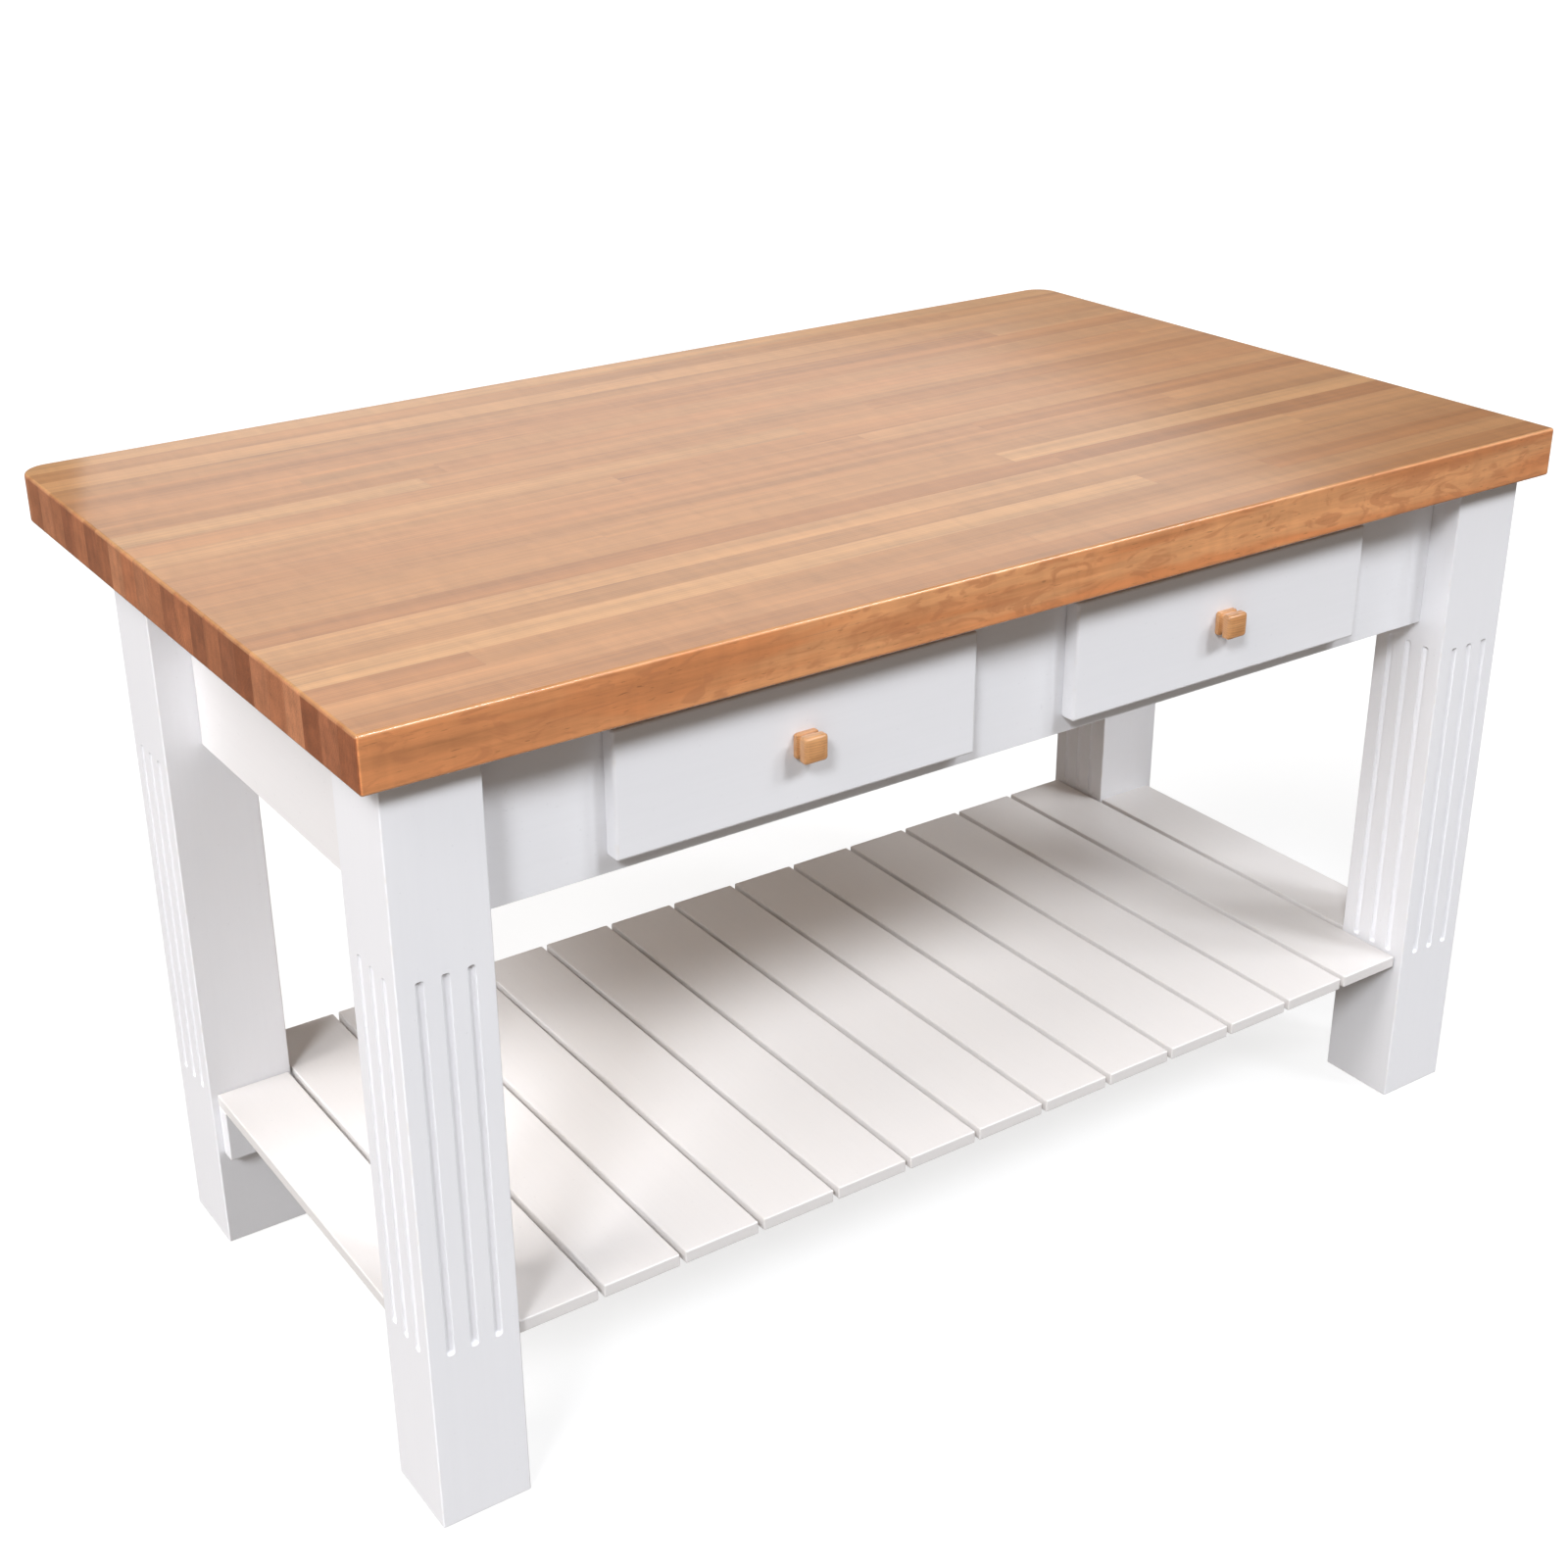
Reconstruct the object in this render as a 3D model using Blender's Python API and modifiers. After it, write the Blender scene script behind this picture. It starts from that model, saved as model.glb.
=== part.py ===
"""Butcher block table: a maple worktop on a painted base with two drawers and a slatted shelf.

Metres, +Z up. The origin is on the floor below the middle of the worktop. +X runs along the
worktop, and the drawers open towards -Y. The base stands under the front of the worktop, which
overhangs at the rear as a place to sit.
"""

import math

import bmesh
import bpy

# Clearance between pieces that touch
GAP = 0.0003

# Worktop
TOP_LENGTH = 1.524
TOP_DEPTH = 0.9144
TOP_THICKNESS = 0.05715
TABLE_HEIGHT = 0.889
TOP_EASING = 0.0035
REAR_CORNER_RADIUS = 0.032
END_OVERHANG = 0.0243
FRONT_OVERHANG = 0.0225
REAR_OVERHANG = 0.2223

# Legs and their flutes
LEG_WIDTH = 0.100
LEG_EASING = 0.0018
FLUTE_RADIUS = 0.0045
FLUTE_DEPTH = 0.0042
FLUTE_BOTTOM = 0.208
FLUTE_TOP = 0.628
FLUTE_SPACING = 0.0262

# Aprons and the frame that holds the drawers
APRON_THICKNESS = 0.020
SIDE_APRON_INSET = 0.043
SIDE_APRON_BOTTOM = 0.6455
FRAME_INSET = 0.037
FRAME_BOTTOM = 0.656
APRON_EASING = 0.0008
CORNER_BLOCK_REACH = 0.075
CORNER_BLOCK_BOTTOM = 0.765
CORNER_BLOCK_TOP = 0.825

# Shelf
SHELF_TOP = 0.207
SLAT_THICKNESS = 0.0152
SLAT_COUNT = 13
SLAT_GAP = 0.0070
SLAT_EASING = 0.0018
SLAT_END_INSET = 0.0093
END_SLAT_INSET = 0.0082
SHELF_RAIL_THICKNESS = 0.020
SHELF_RAIL_HEIGHT = 0.066

# Drawers
DRAWER_CENTRE = 0.282
DRAWER_FRONT_WIDTH = 0.4295
DRAWER_FRONT_THICKNESS = 0.0205
DRAWER_FRONT_BOTTOM = 0.676
DRAWER_FRONT_TOP = 0.812
DRAWER_FRONT_EASING = 0.0035
DRAWER_OVERLAY = 0.010
BOX_WALL = 0.0125
BOX_HEIGHT = 0.094
BOX_CLEARANCE_BELOW = 0.008
BOX_REAR = 0.130
BOX_EASING = 0.001
JOINT_DEPTH = 0.006
BOTTOM_THICKNESS = 0.006
BOTTOM_RISE = 0.008

# Drawer slides: three channels, one inside the next, in the space between frame and box
SLIDE_SPACE = 0.0130
SLIDE_SHEET = 0.0012
SLIDE_PLAY = 0.0008
SLIDE_HEIGHT = 0.045
SLIDE_SETBACK = 0.002
CABINET_WEB = 0.0003
CABINET_REACH = 0.0092
MIDDLE_WEB = 0.0023
MIDDLE_REACH = 0.0082
DRAWER_WEB = 0.0127
DRAWER_REACH = 0.0082

# Knobs and their screws
KNOB_FLANGE_HALF = 0.0135
KNOB_FLANGE_DEPTH = 0.0055
KNOB_HEAD_HALF = 0.0140
KNOB_HEAD_START = 0.0115
KNOB_HEAD_ROUNDING = 0.0035
KNOB_PROJECTION = 0.0215
KNOB_CROWN = 0.0008
KNOB_COVE_RADIUS = 0.0030
KNOB_CORNER_RADIUS = 0.0035
SCREW_RADIUS = 0.0020
SCREW_HOLE_RADIUS = 0.0023
SCREW_DEPTH_IN_KNOB = 0.010
SCREW_HEAD_RADIUS = 0.0045
SCREW_HEAD_THICKNESS = 0.0022

# Places that follow from the sizes above
UNDERSIDE = TABLE_HEIGHT - TOP_THICKNESS
BASE_TOP = UNDERSIDE - GAP
LEG_OUTER_X = TOP_LENGTH / 2 - END_OVERHANG
LEG_INNER_X = LEG_OUTER_X - LEG_WIDTH
BASE_FRONT = -TOP_DEPTH / 2 + FRONT_OVERHANG
BASE_REAR = TOP_DEPTH / 2 - REAR_OVERHANG
FRONT_LEG_INNER_Y = BASE_FRONT + LEG_WIDTH
REAR_LEG_INNER_Y = BASE_REAR - LEG_WIDTH
FRAME_FRONT = BASE_FRONT + FRAME_INSET
FRAME_REAR = FRAME_FRONT + APRON_THICKNESS
REAR_APRON_OUTER = BASE_REAR - FRAME_INSET
REAR_APRON_INNER = REAR_APRON_OUTER - APRON_THICKNESS
SIDE_APRON_OUTER = LEG_OUTER_X - SIDE_APRON_INSET
SIDE_APRON_INNER = SIDE_APRON_OUTER - APRON_THICKNESS
OPENING_HALF = DRAWER_FRONT_WIDTH / 2 - DRAWER_OVERLAY
OPENING_BOTTOM = DRAWER_FRONT_BOTTOM + DRAWER_OVERLAY
OPENING_TOP = DRAWER_FRONT_TOP - DRAWER_OVERLAY
DRAWER_FACE = FRAME_FRONT - GAP - DRAWER_FRONT_THICKNESS
DRAWER_FRONT_BACK = FRAME_FRONT - GAP
BOX_BOTTOM = OPENING_BOTTOM + BOX_CLEARANCE_BELOW
BOX_TOP = BOX_BOTTOM + BOX_HEIGHT
BOX_OUTER_HALF = OPENING_HALF - SLIDE_SPACE
BOX_INNER_HALF = BOX_OUTER_HALF - BOX_WALL
KNOB_HEIGHT = (DRAWER_FRONT_BOTTOM + DRAWER_FRONT_TOP) / 2
SLIDE_CENTRE_Z = (OPENING_BOTTOM + OPENING_TOP) / 2

for old in list(bpy.data.objects):
    bpy.data.objects.remove(old, do_unlink=True)

PARTS = bpy.data.collections.new("butcher_block_table")
CUTTERS = bpy.data.collections.new("cutters")
bpy.context.scene.collection.children.link(PARTS)
bpy.context.scene.collection.children.link(CUTTERS)
CUTTERS.hide_render = True


def finish(name, colour, roughness, metallic=0.0):
    """A Principled material with one colour."""
    material = bpy.data.materials.new(name)
    material.use_nodes = True
    shader = material.node_tree.nodes["Principled BSDF"]
    shader.inputs["Base Color"].default_value = (*colour, 1.0)
    shader.inputs["Roughness"].default_value = roughness
    shader.inputs["Metallic"].default_value = metallic
    return material


TOP_MAPLE = finish("oiled maple", (0.62, 0.36, 0.19), 0.30)
KNOB_MAPLE = finish("knob maple", (0.64, 0.38, 0.18), 0.35)
WHITE_PAINT = finish("white paint", (0.80, 0.79, 0.78), 0.45)
BOX_MAPLE = finish("drawer box maple", (0.70, 0.55, 0.38), 0.50)
PLY = finish("drawer bottom plywood", (0.72, 0.60, 0.44), 0.55)
ZINC = finish("zinc plated steel", (0.62, 0.63, 0.65), 0.32, 1.0)
ROUGH_MAPLE = finish("unpainted maple block", (0.66, 0.50, 0.34), 0.60)


def set_place(piece, at, parent):
    """Put a piece's origin at the world point `at`, under an unrotated parent or none."""
    piece.location = at
    if parent:
        piece.parent = parent
        piece.location -= parent.location


def place(name, bm, at, material=None, parent=None):
    """Make an object from bm with its origin at the world point `at`."""
    mesh = bpy.data.meshes.new(name)
    bmesh.ops.recalc_face_normals(bm, faces=bm.faces)
    bm.to_mesh(mesh)
    bm.free()
    piece = bpy.data.objects.new(name, mesh)
    if material:
        mesh.materials.append(material)
    (PARTS if material else CUTTERS).objects.link(piece)
    set_place(piece, at, parent)
    return piece


def empty(name, at):
    """A handle that the pieces of one moving assembly hang from."""
    handle = bpy.data.objects.new(name, None)
    handle.location = at
    handle.empty_display_size = 0.05
    PARTS.objects.link(handle)
    return handle


def cuboid(low, high):
    """(bmesh, centre): a box with the corners low and high, centred on its own origin."""
    size = [b - a for a, b in zip(low, high)]
    bm = bmesh.new()
    bmesh.ops.create_cube(bm, size=1.0)
    bmesh.ops.scale(bm, vec=size, verts=bm.verts)
    return bm, [(a + b) / 2 for a, b in zip(low, high)]


def ease(piece, width, segments):
    """Round every sharp edge of a piece."""
    bevel = piece.modifiers.new("eased edges", "BEVEL")
    bevel.width = width
    bevel.segments = segments
    bevel.limit_method = "ANGLE"
    bevel.angle_limit = math.radians(40)
    piece.data.shade_smooth()
    piece.data.set_sharp_from_angle(angle=math.radians(35))


def board(name, low, high, material, easing=0.0, segments=1, parent=None):
    """A rectangular board between two corners."""
    bm, centre = cuboid(low, high)
    piece = place(name, bm, centre, material, parent)
    if easing:
        ease(piece, easing, segments)
    return piece


def cut(piece, name, bm, at):
    """Take the closed shape in bm out of a piece."""
    cutter = place(name, bm, at, parent=piece.parent)
    cutter.hide_render = True
    cutter.display_type = "WIRE"
    boolean = piece.modifiers.new(name, "BOOLEAN")
    boolean.operation = "DIFFERENCE"
    boolean.solver = "EXACT"
    boolean.object = cutter


def cut_box(piece, name, low, high):
    """Take a box out of a piece."""
    bm, centre = cuboid(low, high)
    cut(piece, name, bm, centre)


def outline_piece(name, outline, thickness, at, material, parent=None):
    """A flat outline of (x, y) points, made into a solid of this thickness about its own plane."""
    curve = bpy.data.curves.new(name, "CURVE")
    curve.dimensions = "2D"
    curve.fill_mode = "BOTH"
    curve.extrude = thickness / 2
    spline = curve.splines.new("POLY")
    spline.points.add(len(outline) - 1)
    for point, (x, y) in zip(spline.points, outline):
        point.co = (x, y, 0.0, 1.0)
    spline.use_cyclic_u = True
    curve.materials.append(material)
    piece = bpy.data.objects.new(name, curve)
    PARTS.objects.link(piece)
    set_place(piece, at, parent)
    return piece


def rod(radius, length, segments=12):
    """A cylinder along Y, centred on the origin."""
    bm = bmesh.new()
    bmesh.ops.create_cone(
        bm, cap_ends=True, segments=segments, radius1=radius, radius2=radius, depth=length
    )
    for vert in bm.verts:
        vert.co = (vert.co.x, vert.co.z, -vert.co.y)
    return bm


def build_worktop():
    """The slab, with rounded rear corners and eased edges all round."""
    bm, centre = cuboid(
        (-TOP_LENGTH / 2, -TOP_DEPTH / 2, UNDERSIDE), (TOP_LENGTH / 2, TOP_DEPTH / 2, TABLE_HEIGHT)
    )
    rear_uprights = [
        edge
        for edge in bm.edges
        if all(vert.co.y > 0 for vert in edge.verts)
        and abs(edge.verts[0].co.z - edge.verts[1].co.z) > TOP_THICKNESS / 2
    ]
    bmesh.ops.bevel(
        bm,
        geom=rear_uprights,
        offset=REAR_CORNER_RADIUS,
        offset_type="OFFSET",
        segments=8,
        profile=0.5,
        affect="EDGES",
    )
    worktop = place("worktop", bm, centre, TOP_MAPLE)
    ease(worktop, TOP_EASING, 3)


def add_flute(bm, x, y):
    """Add the path of a ball-ended cutter, upright, to bm. Heights are above the floor."""
    ball = bmesh.ops.create_uvsphere(bm, u_segments=16, v_segments=7, radius=FLUTE_RADIUS)["verts"]
    stretch = (FLUTE_TOP - FLUTE_BOTTOM) / 2 - FLUTE_RADIUS
    for vert in ball:
        vert.co.z += math.copysign(stretch, vert.co.z)
    bmesh.ops.translate(bm, verts=ball, vec=(x, y, (FLUTE_TOP + FLUTE_BOTTOM) / 2))


def build_leg(name, x_side, y_side):
    """A square leg with flutes on its two end faces and on its outer face."""
    x = x_side * (LEG_OUTER_X - LEG_WIDTH / 2)
    y = (BASE_FRONT + BASE_REAR) / 2 + y_side * (BASE_REAR - BASE_FRONT - LEG_WIDTH) / 2
    half = LEG_WIDTH / 2
    leg = board(
        name, (x - half, y - half, 0.0), (x + half, y + half, BASE_TOP), WHITE_PAINT, LEG_EASING, 2
    )
    bm = bmesh.new()
    standoff = half + FLUTE_RADIUS - FLUTE_DEPTH
    for step in (-1, 0, 1):
        along = step * FLUTE_SPACING
        add_flute(bm, -standoff, along)
        add_flute(bm, standoff, along)
        add_flute(bm, along, y_side * standoff)
    cut(leg, f"{name}_flutes", bm, (x, y, 0.0))


def build_corner_block(name, x_side, y_side):
    """A block notched around a leg's inner corner and screwed to both aprons."""
    apron_y = FRAME_REAR if y_side < 0 else REAR_APRON_INNER
    leg_y = FRONT_LEG_INNER_Y if y_side < 0 else REAR_LEG_INNER_Y
    near_apron_x = x_side * (SIDE_APRON_INNER - GAP)
    near_leg_x = x_side * (LEG_INNER_X - GAP)
    near_apron_y = apron_y - y_side * GAP
    near_leg_y = leg_y - y_side * GAP
    outline = [
        (near_apron_x, near_leg_y),
        (near_leg_x, near_leg_y),
        (near_leg_x, near_apron_y),
        (near_leg_x - x_side * CORNER_BLOCK_REACH, near_apron_y),
        (near_apron_x, near_leg_y - y_side * CORNER_BLOCK_REACH),
    ]
    middle = (0.0, 0.0, (CORNER_BLOCK_TOP + CORNER_BLOCK_BOTTOM) / 2)
    outline_piece(name, outline, CORNER_BLOCK_TOP - CORNER_BLOCK_BOTTOM, middle, ROUGH_MAPLE)


def build_base():
    """Legs, aprons, the drawer frame and the corner blocks."""
    for y_name, y_side in (("front", -1), ("rear", 1)):
        for x_name, x_side in (("left", -1), ("right", 1)):
            build_leg(f"leg_{y_name}_{x_name}", x_side, y_side)
            build_corner_block(f"corner_block_{y_name}_{x_name}", x_side, y_side)
    for x_name, x_side in (("left", -1), ("right", 1)):
        across = sorted((x_side * SIDE_APRON_INNER, x_side * SIDE_APRON_OUTER))
        board(
            f"apron_{x_name}",
            (across[0], FRONT_LEG_INNER_Y + GAP, SIDE_APRON_BOTTOM),
            (across[1], REAR_LEG_INNER_Y - GAP, BASE_TOP),
            WHITE_PAINT,
            APRON_EASING,
        )
    reach = LEG_INNER_X - GAP
    board(
        "apron_rear",
        (-reach, REAR_APRON_INNER, FRAME_BOTTOM),
        (reach, REAR_APRON_OUTER, BASE_TOP),
        WHITE_PAINT,
        APRON_EASING,
    )
    build_drawer_frame(reach)


def build_drawer_frame(reach):
    """Two rails with three stiles between them, around the drawer openings."""
    rails = (
        ("front_rail_bottom", FRAME_BOTTOM, OPENING_BOTTOM),
        ("front_rail_top", OPENING_TOP, BASE_TOP),
    )
    for name, bottom, top in rails:
        board(name, (-reach, FRAME_FRONT, bottom), (reach, FRAME_REAR, top), WHITE_PAINT)
    inner = DRAWER_CENTRE - OPENING_HALF
    outer = DRAWER_CENTRE + OPENING_HALF
    stiles = (
        ("front_stile_left", -reach, -outer),
        ("front_stile_centre", -inner, inner),
        ("front_stile_right", outer, reach),
    )
    for name, left, right in stiles:
        board(
            name,
            (left, FRAME_FRONT, OPENING_BOTTOM + GAP),
            (right, FRAME_REAR, OPENING_TOP - GAP),
            WHITE_PAINT,
        )


def build_shelf():
    """Two rails on the legs' inner faces, full-depth slats, and a short slat at each end."""
    slat_bottom = SHELF_TOP - SLAT_THICKNESS
    end_reach = LEG_OUTER_X - END_SLAT_INSET
    rail_top = slat_bottom - GAP
    rail_places = (
        ("front", FRONT_LEG_INNER_Y + GAP, FRONT_LEG_INNER_Y + GAP + SHELF_RAIL_THICKNESS),
        ("rear", REAR_LEG_INNER_Y - GAP - SHELF_RAIL_THICKNESS, REAR_LEG_INNER_Y - GAP),
    )
    for name, low_y, high_y in rail_places:
        board(
            f"shelf_rail_{name}",
            (-end_reach, low_y, rail_top - SHELF_RAIL_HEIGHT),
            (end_reach, high_y, rail_top),
            WHITE_PAINT,
            SLAT_EASING,
        )
    first = -LEG_INNER_X + SLAT_GAP / 2
    pitch = 2 * LEG_INNER_X / SLAT_COUNT
    for number in range(SLAT_COUNT):
        left = first + number * pitch
        board(
            f"shelf_slat_{number + 1:02d}",
            (left, BASE_FRONT + SLAT_END_INSET, slat_bottom),
            (left + pitch - SLAT_GAP, BASE_REAR - SLAT_END_INSET, SHELF_TOP),
            WHITE_PAINT,
            SLAT_EASING,
            2,
        )
    for x_name, x_side in (("left", -1), ("right", 1)):
        across = sorted((x_side * end_reach, x_side * (LEG_INNER_X + SLAT_GAP / 2)))
        board(
            f"shelf_slat_end_{x_name}",
            (across[0], FRONT_LEG_INNER_Y + GAP, slat_bottom),
            (across[1], REAR_LEG_INNER_Y - GAP, SHELF_TOP),
            WHITE_PAINT,
            SLAT_EASING,
            2,
        )


def channel(name, middle_x, x_side, web, reach, height, front, rear, parent):
    """A steel channel along Y. `web` is how far its back is from the opening's edge, `reach` how far
    its flanges run: inwards when positive, back towards the edge when negative."""
    direction = math.copysign(1.0, reach)
    inner = web + direction * SLIDE_SHEET
    end = web + reach
    low = -height / 2
    high = height / 2
    section = [
        (web, low),
        (end, low),
        (end, low + SLIDE_SHEET),
        (inner, low + SLIDE_SHEET),
        (inner, high - SLIDE_SHEET),
        (end, high - SLIDE_SHEET),
        (end, high),
        (web, high),
    ]
    outline = [(x_side * (OPENING_HALF - inset), z) for inset, z in section]
    middle = (middle_x, (front + rear) / 2, SLIDE_CENTRE_Z)
    steel = outline_piece(name, outline, rear - front, middle, ZINC, parent)
    steel.rotation_euler.x = math.radians(90)


def build_slides(side, middle_x, drawer, carriage):
    """The two slides of one drawer. Each is a cabinet, a middle and a drawer member."""
    front = FRAME_FRONT + SLIDE_SETBACK
    middle_height = SLIDE_HEIGHT - 2 * (SLIDE_SHEET + SLIDE_PLAY)
    drawer_height = middle_height - 2 * (SLIDE_SHEET + SLIDE_PLAY)
    for place_name, x_side in (("left", -1), ("right", 1)):
        stem = f"{side}_drawer_slide_{place_name}"
        channel(
            f"{stem}_cabinet",
            middle_x,
            x_side,
            CABINET_WEB,
            CABINET_REACH,
            SLIDE_HEIGHT,
            front,
            REAR_APRON_INNER - GAP,
            None,
        )
        channel(
            f"{stem}_middle",
            middle_x,
            x_side,
            MIDDLE_WEB,
            MIDDLE_REACH,
            middle_height,
            front + SLIDE_SETBACK,
            REAR_APRON_INNER - BOX_WALL,
            carriage,
        )
        channel(
            f"{stem}_drawer",
            middle_x,
            x_side,
            DRAWER_WEB,
            -DRAWER_REACH,
            drawer_height,
            front + SLIDE_SETBACK,
            BOX_REAR,
            drawer,
        )


def arc(centre_depth, centre_half, radius, start, stop, steps):
    """(depth, half width) points on a circle. Angles are in degrees from the depth direction."""
    points = []
    for step in range(steps + 1):
        angle = math.radians(start + (stop - start) * step / steps)
        points.append(
            (centre_depth + radius * math.cos(angle), centre_half + radius * math.sin(angle))
        )
    return points


def knob_profile():
    """(depth, half width) from the back of the flange, round the cove, to the rim of the face."""
    cove_centre = (KNOB_FLANGE_DEPTH + KNOB_HEAD_START) / 2
    cove_edge = KNOB_FLANGE_HALF - KNOB_COVE_RADIUS / 4
    shoulder = KNOB_PROJECTION - KNOB_HEAD_ROUNDING
    return [
        (0.0, KNOB_FLANGE_HALF),
        (KNOB_FLANGE_DEPTH - KNOB_COVE_RADIUS / 4, KNOB_FLANGE_HALF),
        *arc(cove_centre, cove_edge, KNOB_COVE_RADIUS, 180, 360, 6),
        (KNOB_HEAD_START + KNOB_COVE_RADIUS / 4, KNOB_HEAD_HALF),
        *arc(shoulder, KNOB_HEAD_HALF - KNOB_HEAD_ROUNDING, KNOB_HEAD_ROUNDING, 90, 0, 4),
    ]


def rounded_square(half, steps=3):
    """(x, z) points around a square with rounded corners."""
    points = []
    for corner in range(4):
        for step in range(steps + 1):
            angle = math.radians(90 * corner + 90 * step / steps)
            quarter = math.radians(90 * corner + 45)
            inset = (half - KNOB_CORNER_RADIUS) * math.sqrt(2)
            points.append(
                (
                    inset * math.cos(quarter) + KNOB_CORNER_RADIUS * math.cos(angle),
                    inset * math.sin(quarter) + KNOB_CORNER_RADIUS * math.sin(angle),
                )
            )
    return points


def knob_mesh():
    """Square sections of changing width, joined ring to ring, with a slightly crowned face."""
    bm = bmesh.new()
    rings = [
        [bm.verts.new((x, -depth, z)) for x, z in rounded_square(half)]
        for depth, half in knob_profile()
    ]
    for near, far in zip(rings, rings[1:]):
        for index in range(len(near)):
            following = (index + 1) % len(near)
            bm.faces.new((near[index], near[following], far[following], far[index]))
    bm.faces.new(rings[0])
    crown = bm.verts.new((0.0, -KNOB_PROJECTION - KNOB_CROWN, 0.0))
    rim = rings[-1]
    for index in range(len(rim)):
        bm.faces.new((rim[index], rim[(index + 1) % len(rim)], crown))
    return bm


def build_knob(side, middle_x, front, drawer):
    """The knob, and the screw that holds it from inside the drawer."""
    knob_base = DRAWER_FACE - GAP
    knob = place(f"{side}_drawer_knob", knob_mesh(), (middle_x, knob_base, KNOB_HEIGHT), KNOB_MAPLE, drawer)
    knob.data.shade_smooth()
    knob.data.set_sharp_from_angle(angle=math.radians(40))
    hole_end = knob_base - SCREW_DEPTH_IN_KNOB - GAP
    hole_start = DRAWER_FRONT_BACK + GAP
    hole_middle = (middle_x, (hole_start + hole_end) / 2, KNOB_HEIGHT)
    for piece in (front, knob):
        bm = rod(SCREW_HOLE_RADIUS, hole_start - hole_end)
        cut(piece, f"{piece.name}_screw_hole", bm, hole_middle)
    seat = DRAWER_FRONT_BACK + GAP
    head_middle = seat + SCREW_HEAD_THICKNESS / 2
    shank_end = hole_end + GAP
    screw = place(
        f"{side}_drawer_knob_screw",
        rod(SCREW_HEAD_RADIUS, SCREW_HEAD_THICKNESS, 16),
        (middle_x, head_middle, KNOB_HEIGHT),
        ZINC,
        drawer,
    )
    shank = place(
        f"{side}_drawer_knob_screw_shank",
        rod(SCREW_RADIUS, head_middle - shank_end),
        (middle_x, (head_middle + shank_end) / 2, KNOB_HEIGHT),
        parent=drawer,
    )
    shank.hide_render = True
    shank.display_type = "WIRE"
    union = screw.modifiers.new("shank", "BOOLEAN")
    union.operation = "UNION"
    union.solver = "EXACT"
    union.object = shank


def build_drawer(side, middle_x):
    """One drawer: overlay front, box, knob and slides. The handle empty is on the slide axis."""
    drawer = empty(f"{side}_drawer_handle", (middle_x, FRAME_FRONT, SLIDE_CENTRE_Z))
    carriage = empty(f"{side}_drawer_carriage_handle", (middle_x, FRAME_FRONT, SLIDE_CENTRE_Z))
    half = DRAWER_FRONT_WIDTH / 2
    front = board(
        f"{side}_drawer_front",
        (middle_x - half, DRAWER_FACE, DRAWER_FRONT_BOTTOM),
        (middle_x + half, DRAWER_FRONT_BACK, DRAWER_FRONT_TOP),
        WHITE_PAINT,
        DRAWER_FRONT_EASING,
        3,
        drawer,
    )
    joint_face = DRAWER_FRONT_BACK - JOINT_DEPTH
    floor_low = BOX_BOTTOM + BOTTOM_RISE
    floor_high = floor_low + BOTTOM_THICKNESS
    floor_half = BOX_INNER_HALF + JOINT_DEPTH - GAP
    for place_name, x_side in (("left", -1), ("right", 1)):
        wall = sorted((middle_x + x_side * BOX_INNER_HALF, middle_x + x_side * BOX_OUTER_HALF))
        cut_box(
            front,
            f"{side}_drawer_front_{place_name}_housing",
            (wall[0] - GAP, joint_face, BOX_BOTTOM - GAP),
            (wall[1] + GAP, DRAWER_FRONT_BACK + GAP, BOX_TOP + GAP),
        )
        side_board = board(
            f"{side}_drawer_side_{place_name}",
            (wall[0], joint_face + GAP, BOX_BOTTOM),
            (wall[1], BOX_REAR, BOX_TOP),
            BOX_MAPLE,
            BOX_EASING,
            1,
            drawer,
        )
        groove = sorted(
            (middle_x + x_side * (BOX_INNER_HALF - GAP), middle_x + x_side * (floor_half + GAP))
        )
        cut_box(
            side_board,
            f"{side}_drawer_side_{place_name}_groove",
            (groove[0], joint_face - GAP, floor_low - GAP),
            (groove[1], BOX_REAR + GAP, floor_high + GAP),
        )
    cut_box(
        front,
        f"{side}_drawer_front_groove",
        (middle_x - BOX_INNER_HALF, joint_face, floor_low - GAP),
        (middle_x + BOX_INNER_HALF, DRAWER_FRONT_BACK + GAP, floor_high + GAP),
    )
    board(
        f"{side}_drawer_bottom",
        (middle_x - floor_half, joint_face + JOINT_DEPTH + GAP, floor_low),
        (middle_x + floor_half, BOX_REAR, floor_high),
        PLY,
        parent=drawer,
    )
    board(
        f"{side}_drawer_back",
        (middle_x - BOX_INNER_HALF + GAP, BOX_REAR - BOX_WALL, floor_high + GAP),
        (middle_x + BOX_INNER_HALF - GAP, BOX_REAR, BOX_TOP),
        BOX_MAPLE,
        BOX_EASING,
        1,
        drawer,
    )
    build_knob(side, middle_x, front, drawer)
    build_slides(side, middle_x, drawer, carriage)


build_worktop()
build_base()
build_shelf()
build_drawer("left", -DRAWER_CENTRE)
build_drawer("right", DRAWER_CENTRE)
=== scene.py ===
"""Looks of the butcher block table: maple worktop, painted base, two drawers, slatted shelf.

Metres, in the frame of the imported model: origin on the floor below the middle of the worktop,
+X along its length, drawers opening towards -Y.
"""

import math

import bmesh
import bpy
from mathutils import Matrix, Vector


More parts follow.
